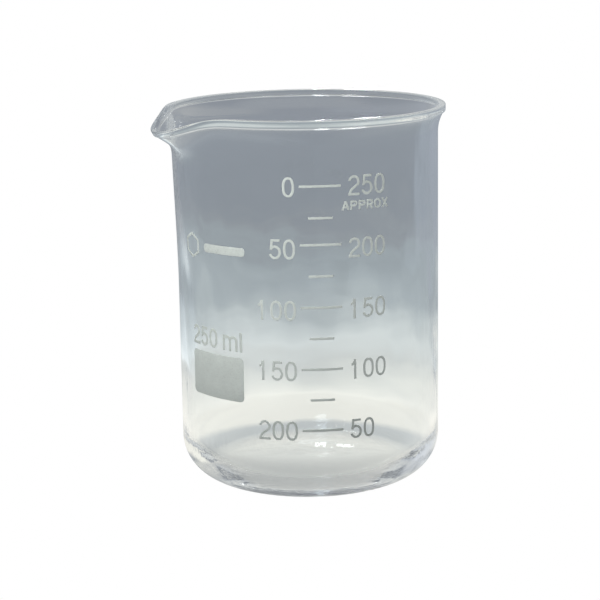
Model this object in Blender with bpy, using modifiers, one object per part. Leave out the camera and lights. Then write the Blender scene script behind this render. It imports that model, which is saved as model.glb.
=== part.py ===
"""A 250 ml low-form beaker: one blown glass body with a pouring spout, and the white enamel
marks fired onto its wall. Metres, +Z up, origin at the middle of the base it stands on.
The scale faces -Y, and the spout points to -X, turned a little towards the scale."""

import math

import bmesh
import bpy
import numpy as np

# Driving dimensions of the glass, in metres, with the turning steps of each arc. The bead's
# start, end and clearance are degrees round its center.
HEIGHT = 0.098
OUTER_RADIUS = 0.034
WALL = 0.0019
BASE_THICKNESS = 0.0039
CORNER_RADIUS = 0.011
FLARE_RADIUS = 0.0114
FLARE_ANGLE = math.radians(33.8)
BEAD_RADIUS = 0.00115
TURN_STEPS = 80
CORNER_STEPS = 9
INNER_CORNER_STEPS = 7
FLARE_STEPS = 6
BEAD_STEPS = 9
BEAD_START = 150
BEAD_END = -80
BEAD_CLEARANCE = 7
WALL_ROWS = 7
WALL_MARGIN = 0.006
SHARP_EDGE = math.radians(40)
MERGE_DISTANCE = 0.00001

# The spout: the rim is drawn outwards and down, and the wall below it follows a little
SPOUT_ANGLE = math.radians(199)
SPOUT_REACH = 0.0049
SPOUT_HALF_WIDTH = math.radians(43.5)
SPOUT_SHARPNESS = 3.5
SPOUT_DROP = 0.0043
DROP_HALF_WIDTH = math.radians(39)
DROP_SHARPNESS = 1.85
SPOUT_HEIGHT = 0.0118
REACH_RISE = 1.15
SHOULDER_BULGE = 0.0013
SHOULDER_HALF_WIDTH = math.radians(60)
SHOULDER_START = 0.051
SHOULDER_TOP = 0.096

# The printed scale and label, measured along the wall from the middle of the scale
SCALE_ANGLE = math.radians(270)
ENAMEL_THICKNESS = 0.0002
ENAMEL_GAP = 0.0003
STROKE = 0.00062
BOLD_STROKE = 0.00050
FIRST_LINE_HEIGHT = 0.0203
LINE_STEP = 0.00784
UPPER_LINES_DROP = 0.0012
LONG_LINE = 0.0103
SHORT_LINE = 0.0061
FIRST_NUMBER_HEIGHT = 0.0202
NUMBER_STEP = 0.01537
NUMBER_SIZE = (0.0030, 0.0050)
NUMBER_PITCH = 0.0035
RISING_LEFT = 0.0070
FALLING_RIGHT = -0.0063
LETTER_SIZE = (0.0020, 0.00235)
LETTER_PITCH = 0.00215
APPROX_LEFT = 0.0053
APPROX_HEIGHT = 0.0768
CAPACITY_LEFT = -0.0385
CAPACITY_HEIGHT = 0.0420
UNIT_M_SIZE = (0.0047, 0.0040)
UNIT_M_LEFT = -0.0267
UNIT_L_LEFT = -0.0214
PATCH_CENTER = (-0.0295, 0.0323)
PATCH_SIZE = (0.0183, 0.0114)
PATCH_CORNER = 0.0012
HEXAGON_CENTER = (-0.0375, 0.0650)
HEXAGON_RADIUS = 0.0030
BAR_CENTER = (-0.0259, 0.0650)
BAR_SIZE = (0.0130, 0.0022)
BAR_CORNER = 0.0008
STRIP_LENGTH = 0.0016
CORNER_TURNS = (0, 30, 60, 90)
PATCH_STRIPS = 11


def clear_scene():
    for old in list(bpy.data.objects):
        bpy.data.objects.remove(old, do_unlink=True)


def new_collection(name):
    collection = bpy.data.collections.new(name)
    bpy.context.scene.collection.children.link(collection)
    return collection


def new_material(name, color, roughness, transmission=0.0, ior=1.5):
    material = bpy.data.materials.new(name)
    material.use_nodes = True
    shader = material.node_tree.nodes["Principled BSDF"]
    shader.inputs["Base Color"].default_value = (*color, 1.0)
    shader.inputs["Roughness"].default_value = roughness
    shader.inputs["Metallic"].default_value = 0.0
    shader.inputs["Transmission Weight"].default_value = transmission
    shader.inputs["IOR"].default_value = ior
    return material


def new_object(name, mesh, material, collection):
    mesh.materials.clear()
    mesh.materials.append(material)
    obj = bpy.data.objects.new(name, mesh)
    collection.objects.link(obj)
    return obj


def evaluated_mesh(obj, name):
    """The object's mesh with its modifiers applied, as a mesh of its own."""
    graph = bpy.context.evaluated_depsgraph_get()
    mesh = bpy.data.meshes.new_from_object(obj.evaluated_get(graph))
    mesh.name = name
    return mesh


def arc(center, radii, start, end, count):
    """Points along an ellipse's arc, from one angle in degrees to the other."""
    angles = np.radians(np.linspace(start, end, count))
    return [
        (center[0] + radii[0] * math.cos(a), center[1] + radii[1] * math.sin(a)) for a in angles
    ]


# ---------------------------------------------------------------- the glass body


def wall_outline():
    """The half section of the glass, from the middle of the inner floor over the rim to the
    middle of the underside."""
    inner = OUTER_RADIUS - WALL
    inner_corner = CORNER_RADIUS - WALL
    floor = [(0.0, BASE_THICKNESS), (0.5 * inner, BASE_THICKNESS)]
    inner_turn = arc(
        (inner - inner_corner, BASE_THICKNESS + inner_corner), (inner_corner, inner_corner),
        -90, 0, INNER_CORNER_STEPS,
    )
    middle = OUTER_RADIUS - WALL / 2
    flare_base = HEIGHT - BEAD_RADIUS - FLARE_RADIUS * math.sin(FLARE_ANGLE)
    center = middle + FLARE_RADIUS
    flare_degrees = math.degrees(FLARE_ANGLE)
    inner_flare = arc(
        (center, flare_base), (FLARE_RADIUS + WALL / 2,) * 2,
        180, 180 - flare_degrees, FLARE_STEPS,
    )
    bead_center = (
        center - FLARE_RADIUS * math.cos(FLARE_ANGLE),
        flare_base + FLARE_RADIUS * math.sin(FLARE_ANGLE),
    )
    bead = arc(bead_center, (BEAD_RADIUS,) * 2, BEAD_START, BEAD_END, BEAD_STEPS)
    outer_flare = arc(
        (center, flare_base), (FLARE_RADIUS - WALL / 2,) * 2,
        180 - flare_degrees + BEAD_CLEARANCE, 180, FLARE_STEPS - 1,
    )
    outer_turn = arc(
        (OUTER_RADIUS - CORNER_RADIUS, CORNER_RADIUS), (CORNER_RADIUS,) * 2, 0, -90, CORNER_STEPS
    )
    wall_rows = np.linspace(CORNER_RADIUS + WALL_MARGIN, flare_base - WALL_MARGIN, WALL_ROWS)
    inner_wall = [(inner, float(z)) for z in wall_rows]
    outer_wall = [(OUTER_RADIUS, float(z)) for z in wall_rows[::-1]]
    base = [(0.5 * inner, 0.0), (0.0, 0.0)]
    return (
        floor + inner_turn + inner_wall + inner_flare[:-1] + bead + outer_flare + outer_wall
        + outer_turn + base
    )


def smooth(t):
    """Eases from 0 to 1 as t goes from 0 to 1, and stays there outside it."""
    t = np.clip(t, 0.0, 1.0)
    return t * t * (3 - 2 * t)


def bell(angle, half_width, sharpness):
    """1 at the middle of the spout, falling to 0 at half_width on either side of it."""
    share = np.clip(np.abs(angle) / half_width, 0.0, 1.0)
    return (0.5 + 0.5 * np.cos(np.pi * share)) ** sharpness


def from_spout(turn):
    """The angle from the spout's direction, between -pi and pi."""
    return (turn - SPOUT_ANGLE + np.pi) % (2 * np.pi) - np.pi


def shoulder(turn, height):
    """How far the wall below the spout stands out of its cylinder."""
    rise = smooth((height - SHOULDER_START) / (SHOULDER_TOP - SHOULDER_START))
    return SHOULDER_BULGE * bell(from_spout(turn), SHOULDER_HALF_WIDTH, 1.0) * rise


def draw_spout(points):
    """Moves the points near the rim outwards and down round the spout's direction, and swells
    the wall below it."""
    radius = np.hypot(points[:, 0], points[:, 1])
    turn = np.arctan2(points[:, 1], points[:, 0])
    away = from_spout(turn)
    height = points[:, 2]
    rise = np.clip((height - HEIGHT + SPOUT_HEIGHT) / SPOUT_HEIGHT, 0.0, 1.0)
    reach = SPOUT_REACH * bell(away, SPOUT_HALF_WIDTH, SPOUT_SHARPNESS) * rise**REACH_RISE
    drop = SPOUT_DROP * bell(away, DROP_HALF_WIDTH, DROP_SHARPNESS) * smooth(rise)
    grown = radius + reach + shoulder(turn, height)
    moved = points.copy()
    moved[:, 0] = grown * np.cos(turn)
    moved[:, 1] = grown * np.sin(turn)
    moved[:, 2] = height - drop
    return moved


def make_glass_body(collection, material):
    outline = wall_outline()
    profile = bpy.data.meshes.new("glass_profile")
    profile.from_pydata(
        [(x, 0.0, z) for x, z in outline], [(i, i + 1) for i in range(len(outline) - 1)], []
    )
    turned = bpy.data.objects.new("glass_profile", profile)
    collection.objects.link(turned)
    screw = turned.modifiers.new("Screw", "SCREW")
    screw.axis = "Z"
    screw.steps = TURN_STEPS
    screw.render_steps = TURN_STEPS
    screw.use_merge_vertices = True
    screw.merge_threshold = MERGE_DISTANCE
    mesh = evaluated_mesh(turned, "glass_body")
    bpy.data.objects.remove(turned, do_unlink=True)
    flat = np.empty(len(mesh.vertices) * 3)
    mesh.vertices.foreach_get("co", flat)
    mesh.vertices.foreach_set("co", draw_spout(flat.reshape(-1, 3)).ravel())
    mesh.shade_smooth()
    mesh.set_sharp_from_angle(angle=SHARP_EDGE)
    return new_object("glass_body", mesh, material, collection)


# ---------------------------------------------------------------- the enamel marks


def on_wall(along, height, depth):
    """A point at a distance along the wall from the middle of the scale, at a depth out from
    the glass."""
    turn = SCALE_ANGLE + along / OUTER_RADIUS
    radius = OUTER_RADIUS + ENAMEL_GAP + depth + float(shoulder(turn, height))
    return (radius * math.cos(turn), radius * math.sin(turn), height)


def divided(path, longest=STRIP_LENGTH):
    """The path with its long straight runs divided, so that they follow the round wall."""
    points = [path[0]]
    for a, b in zip(path, path[1:]):
        parts = max(1, math.ceil(abs(b[0] - a[0]) / longest))
        points += [
            (a[0] + (b[0] - a[0]) * k / parts, a[1] + (b[1] - a[1]) * k / parts)
            for k in range(1, parts + 1)
        ]
    return points


def add_solidify(obj, mode, thickness, offset):
    solidify = obj.modifiers.new("Solidify", "SOLIDIFY")
    solidify.solidify_mode = mode
    solidify.nonmanifold_thickness_mode = "CONSTRAINTS"
    solidify.nonmanifold_boundary_mode = "FLAT"
    solidify.thickness = thickness
    solidify.offset = offset


def make_stroke_mark(name, paths, width, collection, material):
    """A mark drawn with one line width: a ribbon that stands out of the wall along each path,
    thickened to the line's width. Paths that share a point are joined there."""
    frame = bmesh.new()
    placed = {}

    def ribbon_edge(point):
        key = (round(point[0], 7), round(point[1], 7))
        if key not in placed:
            placed[key] = [
                frame.verts.new(on_wall(point[0], point[1], depth))
                for depth in (0.0, ENAMEL_THICKNESS)
            ]
        return placed[key]

    for path in paths:
        points = divided(path)
        for a, b in zip(points, points[1:]):
            low_a, high_a = ribbon_edge(a)
            low_b, high_b = ribbon_edge(b)
            frame.faces.new((low_a, low_b, high_b, high_a))
    mesh = bpy.data.meshes.new(name)
    frame.to_mesh(mesh)
    frame.free()
    obj = new_object(name, mesh, material, collection)
    add_solidify(obj, "NON_MANIFOLD", width, 0.0)
    return obj


def make_filled_mark(name, center, size, corner, collection, material):
    """A filled rectangle with round corners, laid round the wall in upright strips."""
    half = size[0] / 2
    turn = [corner * (1 - math.cos(math.radians(a))) for a in CORNER_TURNS]
    straight = np.linspace(-half + corner, half - corner, PATCH_STRIPS)[1:-1]
    columns = [t - half for t in turn] + list(straight) + [half - t for t in turn[::-1]]
    frame = bmesh.new()
    pairs = []
    for along in columns:
        inset = max(0.0, corner - (half - abs(along)))
        cut = corner - math.sqrt(max(0.0, corner**2 - inset**2))
        tall = size[1] / 2 - cut
        pairs.append(
            [
                frame.verts.new(on_wall(center[0] + along, center[1] + side * tall, 0.0))
                for side in (-1, 1)
            ]
        )
    for left, right in zip(pairs, pairs[1:]):
        frame.faces.new((left[0], right[0], right[1], left[1]))
    mesh = bpy.data.meshes.new(name)
    frame.to_mesh(mesh)
    frame.free()
    obj = new_object(name, mesh, material, collection)
    add_solidify(obj, "EXTRUDE", ENAMEL_THICKNESS, 1.0)
    return obj


# Each character is a set of paths on a square from (0, 0) to (1, 1), which its size stretches.


def oval(count=21):
    """A tall round ring with nearly straight sides."""
    angles = np.linspace(0, 2 * np.pi, count)
    return [
        (
            0.5 + 0.5 * math.copysign(abs(math.cos(a)) ** 0.85, math.cos(a)),
            0.5 + 0.5 * math.copysign(abs(math.sin(a)) ** 0.85, math.sin(a)),
        )
        for a in angles[:-1]
    ] + [(1.0, 0.5)]


def two():
    bowl = arc((0.5, 0.72), (0.5, 0.28), 172, -20, 9)
    return [bowl + [(0.80, 0.46), (0.0, 0.0), (1.0, 0.0)]]


def five():
    bowl = arc((0.47, 0.325), (0.53, 0.325), 118, -160, 12)
    return [
        [(0.93, 1.0), (0.20, 1.0), (0.10, 0.56), (0.08, 0.47)],
        [(0.10, 0.56)] + bowl,
    ]


def one():
    return [[(0.0, 0.73), (0.22, 0.77), (0.42, 0.91), (0.42, 0.5), (0.42, 0.0)]]


def letter_a():
    return [
        [(0.0, 0.0), (0.15, 0.28), (0.5, 0.9)],
        [(0.5, 0.9), (0.85, 0.28), (1.0, 0.0)],
        [(0.15, 0.28), (0.85, 0.28)],
    ]


def letter_p():
    loop = arc((0.52, 0.73), (0.42, 0.27), 90, -90, 6)
    return [[(0.05, 0.0), (0.05, 0.46), (0.05, 1.0)] + loop + [(0.05, 0.46)]]


def letter_r():
    return letter_p() + [[(0.52, 0.46), (0.95, 0.0)]]


def letter_x():
    return [
        [(0.0, 0.0), (0.5, 0.5), (1.0, 1.0)],
        [(0.0, 1.0), (0.5, 0.5), (1.0, 0.0)],
    ]


def letter_m():
    left_arch = arc((0.25, 0.66), (0.25, 0.34), 115, 0, 6)
    right_arch = arc((0.75, 0.66), (0.25, 0.34), 115, 0, 6)
    return [
        [(0.0, 0.0), (0.0, 0.70), (0.0, 1.0)],
        [(0.0, 0.70)] + left_arch + [(0.5, 0.0)],
        [(0.5, 0.66)] + right_arch + [(1.0, 0.0)],
    ]


def letter_l():
    return [[(0.0, 0.0), (0.0, 1.0)]]


CHARACTERS = {
    "0": lambda: [oval()],
    "1": one,
    "2": two,
    "5": five,
    "A": letter_a,
    "P": letter_p,
    "R": letter_r,
    "O": lambda: [oval(15)],
    "X": letter_x,
    "m": letter_m,
    "l": letter_l,
}


def placed_paths(character, left, middle, size, stroke):
    """The character's paths on the wall, with its outer size, from its left side."""
    wide = size[0] - stroke
    tall = size[1] - stroke
    return [
        [(left + stroke / 2 + x * wide, middle + (y - 0.5) * tall) for x, y in path]
        for path in CHARACTERS[character]()
    ]


def make_number(prefix, text, left, middle, collection, material):
    for index, character in enumerate(text):
        paths = placed_paths(character, left + index * NUMBER_PITCH, middle, NUMBER_SIZE, STROKE)
        name = f"{prefix}_{text}_digit_{index + 1}"
        make_stroke_mark(name, paths, STROKE, collection, material)


def line_height(volume):
    """The height of the scale's line for a volume in ml, as the scale is printed."""
    steps = (volume - 50) / 25
    return FIRST_LINE_HEIGHT + steps * LINE_STEP - (UPPER_LINES_DROP if volume > 200 else 0.0)


def make_scale(collection, material):
    for volume in range(50, 251, 25):
        length = LONG_LINE if volume % 50 == 0 else SHORT_LINE
        height = line_height(volume)
        path = [(-length / 2, height), (length / 2, height)]
        make_stroke_mark(f"line_{volume:03d}_ml", [path], STROKE, collection, material)
    for row in range(5):
        middle = FIRST_NUMBER_HEIGHT + row * NUMBER_STEP
        rising = str(50 + 50 * row)
        falling = str(200 - 50 * row)
        width = NUMBER_SIZE[0] + (len(falling) - 1) * NUMBER_PITCH
        make_number("rising", rising, RISING_LEFT, middle, collection, material)
        make_number("falling", falling, FALLING_RIGHT - width, middle, collection, material)


def make_approx(collection, material):
    for index, character in enumerate("APPROX"):
        left = APPROX_LEFT + index * LETTER_PITCH
        paths = placed_paths(character, left, APPROX_HEIGHT, LETTER_SIZE, BOLD_STROKE)
        name = f"approx_letter_{index + 1}_{character}"
        make_stroke_mark(name, paths, BOLD_STROKE, collection, material)


def make_capacity(collection, material):
    for index, character in enumerate("250"):
        left = CAPACITY_LEFT + index * NUMBER_PITCH
        paths = placed_paths(character, left, CAPACITY_HEIGHT, NUMBER_SIZE, STROKE)
        make_stroke_mark(f"capacity_digit_{index + 1}", paths, STROKE, collection, material)
    bottom = CAPACITY_HEIGHT - NUMBER_SIZE[1] / 2
    m_middle = bottom + UNIT_M_SIZE[1] / 2
    m_paths = placed_paths("m", UNIT_M_LEFT, m_middle, UNIT_M_SIZE, STROKE)
    make_stroke_mark("capacity_letter_m", m_paths, STROKE, collection, material)
    l_paths = placed_paths("l", UNIT_L_LEFT, CAPACITY_HEIGHT, (STROKE, NUMBER_SIZE[1]), STROKE)
    make_stroke_mark("capacity_letter_l", l_paths, STROKE, collection, material)


def make_label(collection, material):
    make_filled_mark(
        "marking_patch", PATCH_CENTER, PATCH_SIZE, PATCH_CORNER, collection, material
    )
    corners = arc(HEXAGON_CENTER, (HEXAGON_RADIUS,) * 2, 90, 450, 7)
    make_stroke_mark(
        "label_hexagon", [corners[:-1] + [corners[0]]], STROKE, collection, material
    )
    make_filled_mark("label_bar", BAR_CENTER, BAR_SIZE, BAR_CORNER, collection, material)


def main():
    clear_scene()
    beaker = new_collection("beaker")
    glass = new_material("clear_glass", (0.93, 0.96, 0.97), 0.02, transmission=1.0, ior=1.47)
    enamel = new_material("white_enamel", (0.80, 0.81, 0.80), 0.45)
    make_glass_body(beaker, glass)
    make_scale(beaker, enamel)
    make_approx(beaker, enamel)
    make_capacity(beaker, enamel)
    make_label(beaker, enamel)


main()
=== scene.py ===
"""The looks of a 250 ml low-form beaker: clear blown glass with white enamel marks fired on.

It is laid out as an add-on: each group of like pieces has its own operator and settings.
Lengths are in metres, +Z is up, and the origin is the middle of the base the beaker stands on.
The scale faces -Y, and the spout points to -X, turned a little towards the scale."""

import math

import bpy
import numpy as np
from bpy.props import FloatProperty, FloatVectorProperty, IntProperty, PointerProperty
from mathutils import Matrix, Vector


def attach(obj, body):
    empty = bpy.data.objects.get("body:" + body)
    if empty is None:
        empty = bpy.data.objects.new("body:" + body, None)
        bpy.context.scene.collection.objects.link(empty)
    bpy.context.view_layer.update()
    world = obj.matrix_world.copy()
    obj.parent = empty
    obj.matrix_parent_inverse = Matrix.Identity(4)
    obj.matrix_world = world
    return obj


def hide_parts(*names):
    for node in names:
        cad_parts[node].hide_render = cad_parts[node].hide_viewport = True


bl_info = {
    "name": "Low-Form Beaker",
    "version": (1, 0, 0),
    "blender": (4, 5, 0),
    "location": "3D View > Sidebar > Beaker",
    "description": "Builds the glass body, the enamel marks and the stage of a 250 ml beaker",
    "category": "Object",
}

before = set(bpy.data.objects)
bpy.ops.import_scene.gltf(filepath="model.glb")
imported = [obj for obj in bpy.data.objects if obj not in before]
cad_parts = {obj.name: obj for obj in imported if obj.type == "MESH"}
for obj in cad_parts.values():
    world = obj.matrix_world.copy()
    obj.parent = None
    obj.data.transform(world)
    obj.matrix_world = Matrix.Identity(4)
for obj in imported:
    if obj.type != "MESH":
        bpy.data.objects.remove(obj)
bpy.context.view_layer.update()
TURN = 2 * math.pi


# ---------------------------------------------------------------- settings


def length(name, description, default):
    """A setting in metres."""
    return FloatProperty(
        name=name, description=description, default=default, unit="LENGTH", precision=5
    )


def angle(name, description, degrees):
    """A setting shown in degrees and kept in radians."""
    return FloatProperty(
        name=name, description=description, default=math.radians(degrees), subtype="ANGLE"
    )


def number(name, description, default):
    """A plain setting."""
    return FloatProperty(name=name, description=description, default=default)


def color(name, description, default):
    """A color setting, linear."""
    return FloatVectorProperty(
        name=name, description=description, default=default, subtype="COLOR", min=0.0, max=1.0
    )


class BeakerGlassSettings(bpy.types.PropertyGroup):
    height: length("Height", "From the base to the top of the rim", 0.098)
    radius: length("Outer radius", "Of the straight wall", 0.034)
    wall: length("Wall", "Thickness of the wall", 0.0019)
    base: length("Base", "Thickness of the glass at the bottom", 0.0039)
    corner: length("Corner", "Outside radius between the wall and the base", 0.011)
    push_up: length("Push-up", "How far the middle of the underside is hollowed", 0.0003)
    flare: length("Flare", "Radius of the wall's outward turn under the rim", 0.0114)
    flare_angle: angle("Flare angle", "How far the wall turns outwards", 33.8)
    bead: length("Bead", "Radius of the fire-polished rim", 0.00098)
    spout_angle: angle("Spout direction", "Measured from +X", 199.0)
    spout_reach: length("Spout reach", "How far the lip is drawn outwards", 0.0049)
    spout_half_width: angle("Spout half width", "Where the lip meets the round rim", 43.5)
    spout_sharpness: number("Spout sharpness", "How pointed the lip is", 3.5)
    spout_drop: length("Spout drop", "How far the lip is drawn down", 0.0043)
    drop_half_width: angle("Drop half width", "Where the lip starts to go down", 39.0)
    drop_sharpness: number("Drop sharpness", "How pointed the dip is", 1.85)
    spout_height: length("Spout height", "How much of the wall the lip takes in", 0.0118)
    reach_rise: number("Reach rise", "How the reach grows towards the rim", 1.15)
    shoulder_bulge: length("Shoulder", "How far the wall below the spout stands out", 0.0013)
    shoulder_half_width: angle("Shoulder half width", "Where the shoulder ends", 60.0)
    shoulder_start: length("Shoulder start", "Height where the shoulder begins", 0.051)
    shoulder_top: length("Shoulder top", "Height where the shoulder is full", 0.096)
    spout_thinning: length("Spout thinning", "How much thinner the drawn wall is", 0.0006)
    ripple: length("Ripple", "How much the blown wall varies in thickness", 0.00005)
    turn_steps: IntProperty(
        name="Turn steps", description="Divisions round the glass", default=384, min=24
    )
    ior: number("Refraction", "Index of refraction of borosilicate glass", 1.473)
    tint: color("Tint", "Color of the glass", (0.972, 0.988, 0.984))


class BeakerEnamelSettings(bpy.types.PropertyGroup):
    scale_angle: angle("Scale direction", "Middle of the scale, from +X", 270.0)
    film: length("Film", "Thickness of the enamel", 0.00004)
    gap: length("Gap", "Clearance between the enamel and the glass", 0.000012)
    stroke: length("Stroke", "Line width of the scale and its numbers", 0.00062)
    bold_stroke: length("Bold stroke", "Line width of the small letters", 0.0005)
    capacity_stroke: length("Capacity stroke", "Line width of the capacity mark", 0.00076)
    first_line: length("First line", "Height of the 50 ml line", 0.0203)
    line_step: length("Line step", "Height between lines 25 ml apart", 0.00784)
    upper_drop: length("Upper drop", "How much lower the lines above 200 ml sit", 0.0012)
    long_line: length("Long line", "Length of the lines that have numbers", 0.0103)
    short_line: length("Short line", "Length of the lines between them", 0.0061)
    first_number: length("First number", "Height of the lowest numbers", 0.0202)
    number_step: length("Number step", "Height between rows of numbers", 0.01537)
    digit_width: length("Digit width", "Outside width of a digit", 0.0030)
    digit_height: length("Digit height", "Outside height of a digit", 0.0050)
    digit_pitch: length("Digit pitch", "From one digit to the next", 0.0035)
    rising_left: length("Rising left", "Where the rising numbers start", 0.0070)
    falling_right: length("Falling right", "Where the falling numbers end", -0.0063)
    letter_width: length("Letter width", "Outside width of a small letter", 0.0020)
    letter_height: length("Letter height", "Outside height of a small letter", 0.00235)
    letter_pitch: length("Letter pitch", "From one small letter to the next", 0.00215)
    letters_left: length("Letters left", "Where the small letters start", 0.0053)
    letters_level: length("Letters level", "Middle height of the small letters", 0.0768)
    capacity_left: length("Capacity left", "Where the capacity mark starts", -0.0385)
    capacity_level: length("Capacity level", "Middle height of the capacity mark", 0.0420)
    color: color("Enamel", "Color of the fired enamel", (0.8624, 0.9296, 0.8848))


class BeakerStageSettings(bpy.types.PropertyGroup):
    camera_place: FloatVectorProperty(
        name="Camera", description="Where the camera stands", subtype="TRANSLATION",
        unit="LENGTH", precision=5, default=(-0.045881, -0.494671, 0.155759),
    )
    camera_target: FloatVectorProperty(
        name="Target", description="Where the camera looks", subtype="TRANSLATION",
        unit="LENGTH", precision=5, default=(-0.002282, 0.000206, 0.046228),
    )
    camera_roll: angle("Roll", "How far the camera leans clockwise", 0.902)
    lens: FloatProperty(name="Lens", description="Focal length in millimetres", default=115.80)
    floor_radius: length("Floor", "Radius of the floor", 12.0)
    floor_gap: length("Floor gap", "How far the floor lies under the base", 0.0003)
    floor_color: color("Floor color", "Of the floor as it is seen", (1.0, 1.0, 1.0))
    key_power: FloatProperty(name="Key", description="Watts of the front light", default=9.6)
    side_power: FloatProperty(name="Side key", description="Watts of the left light", default=3.9)


# ---------------------------------------------------------------- shared helpers


def smooth(t):
    """Eases from 0 to 1 as t goes from 0 to 1, and stays there outside it."""
    t = np.clip(t, 0.0, 1.0)
    return t * t * (3 - 2 * t)


def bell(away, half_width, sharpness):
    """1 in the middle, falling as a raised cosine to 0 at half_width on either side."""
    share = np.clip(np.abs(away) / half_width, 0.0, 1.0)
    return (0.5 + 0.5 * np.cos(np.pi * share)) ** sharpness


def arc(center, radii, start, end, count):
    """Points on an ellipse's arc: center plus radii times (cosine, sine) of an angle that runs
    evenly from start to end, in degrees."""
    turn = np.radians(np.linspace(start, end, count))
    across, up = radii[0] * np.cos(turn), radii[1] * np.sin(turn)
    return np.column_stack((center[0] + across, center[1] + up))


def line(start, end, count=2):
    """Evenly spaced points on a straight line."""
    return np.linspace(start, end, count)


def signed_volume(points, triangles):
    """The volume inside closed triangles, positive when they face outwards."""
    a, b, c = (points[triangles[:, k]] for k in range(3))
    return float(np.einsum("ij,ij->i", a, np.cross(b, c)).sum() / 6)


def grid_faces(rows, columns, first=0, closed_rows=False):
    """Quads between neighbouring rows of a grid whose columns close on themselves."""
    row = np.arange(rows if closed_rows else rows - 1)[:, None]
    column = np.arange(columns)[None, :]
    after_row = (row + 1) % rows
    after = (column + 1) % columns
    corners = (
        row * columns + column, row * columns + after,
        after_row * columns + after, after_row * columns + column,
    )
    return first + np.stack(np.broadcast_arrays(*corners), axis=-1).reshape(-1, 4)


def new_piece(name, points, faces, material):
    """A smooth-shaded mesh object at the origin with its faces pointing out."""
    fans = [(face[0], face[k], face[k + 1]) for face in faces for k in range(1, len(face) - 1)]
    if signed_volume(points, np.array(fans)) < 0:
        faces = [face[::-1] for face in faces]
    mesh = bpy.data.meshes.new(name)
    mesh.from_pydata(points.tolist(), [], faces)
    mesh.shade_smooth()
    mesh.materials.append(material)
    mesh.update()
    piece = bpy.data.objects.new(name, mesh)
    bpy.context.scene.collection.objects.link(piece)
    return piece


def stand_in(piece, node):
    """The piece moves with the body and is shown instead of the plain CAD node."""
    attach(piece, "root")
    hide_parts(node)


def add_node(tree, kind, inputs=None, **settings):
    """A shader node with its settings, and its inputs set to values or joined to sockets."""
    node = tree.nodes.new(kind)
    for key, value in settings.items():
        setattr(node, key, value)
    for socket, value in (inputs or {}).items():
        if isinstance(value, bpy.types.NodeSocket):
            tree.links.new(value, node.inputs[socket])
        else:
            node.inputs[socket].default_value = value
    return node


def new_tree(name):
    """A material of that name with an empty node tree; an old one is cleared and used again."""
    material = bpy.data.materials.get(name) or bpy.data.materials.new(name)
    material.use_nodes = True
    material.node_tree.nodes.clear()
    return material, material.node_tree


def ramp(tree, factor, stops):
    """A color ramp over a factor, from (position, gray or color) pairs."""
    node = add_node(tree, "ShaderNodeValToRGB", {"Fac": factor})
    elements = node.color_ramp.elements
    while len(elements) > 1:
        elements.remove(elements[-1])
    for index, (position, value) in enumerate(stops):
        element = elements[0] if index == 0 else elements.new(position)
        element.position = position
        shade = (value,) * 3 if isinstance(value, (int, float)) else value
        element.color = (*shade, 1.0)
    return node.outputs["Color"]


def times(tree, first, second):
    """The product of two numbers."""
    return add_node(
        tree, "ShaderNodeMath", {0: first, 1: second}, operation="MULTIPLY"
    ).outputs[0]


def mixed(tree, factor, first, second):
    """The first color, or the second by the factor's share."""
    colors = {
        6 + index: (*shade, 1.0) if isinstance(shade, tuple) else shade
        for index, shade in enumerate((first, second))
    }
    return add_node(
        tree, "ShaderNodeMix", {"Factor": factor, **colors}, data_type="RGBA"
    ).outputs[2]


def multiplied(tree, first, second):
    """The product of two colors."""
    return add_node(
        tree, "ShaderNodeMix", {"Factor": 1.0, 6: first, 7: second},
        data_type="RGBA", blend_type="MULTIPLY",
    ).outputs[2]


def ranged(tree, value, start, end):
    """0 to 1 as the value goes from start to end."""
    return add_node(
        tree, "ShaderNodeMapRange", {"Value": value, "From Min": start, "From Max": end}
    ).outputs[0]


# ---------------------------------------------------------------- the glass body

# The rim's arc runs between these angles, in degrees. Its sine and cosine are raised to the
# power, which makes it squarer than a circle.
RIM_START, RIM_END, RIM_POWER = 175, -71, 0.34
# How many degrees short of the rim the flare's arc stops, on the inside and on the outside
INNER_LEAD, OUTER_LEAD = 3.0, 4.6
# The waves in the inner wall: share, number round the glass, radians up its height, start
RIPPLES = ((1.0, 5, 9, 0.7), (0.7, 11, -7, 2.1), (0.5, 23, 15, 0.0), (0.4, 3, 31, 1.3))
RIPPLE_BOTTOM, RIPPLE_TOP, RIPPLE_EASE = 0.02, 0.088, 0.01
# The wall drawn out into the spout is thinner up to here, easing in and out over these heights
THIN_TOP, THIN_EASE_IN, THIN_EASE_OUT = 0.0955, 0.025, 0.006
THIN_HALF_WIDTH = math.radians(60.0)


def away_from_spout(glass, turn):
    """The turn from the middle of the spout, from minus half a turn to half a turn."""
    return (turn - glass.spout_angle + np.pi) % TURN - np.pi


def shoulder(glass, turn, height):
    """How far the wall below the spout stands out: a raised cosine of the turn from the spout
    times an eased rise with the height."""
    span = glass.shoulder_top - glass.shoulder_start
    rise = smooth((height - glass.shoulder_start) / span)
    away = away_from_spout(glass, turn)
    return glass.shoulder_bulge * bell(away, glass.shoulder_half_width, 1.0) * rise


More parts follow.
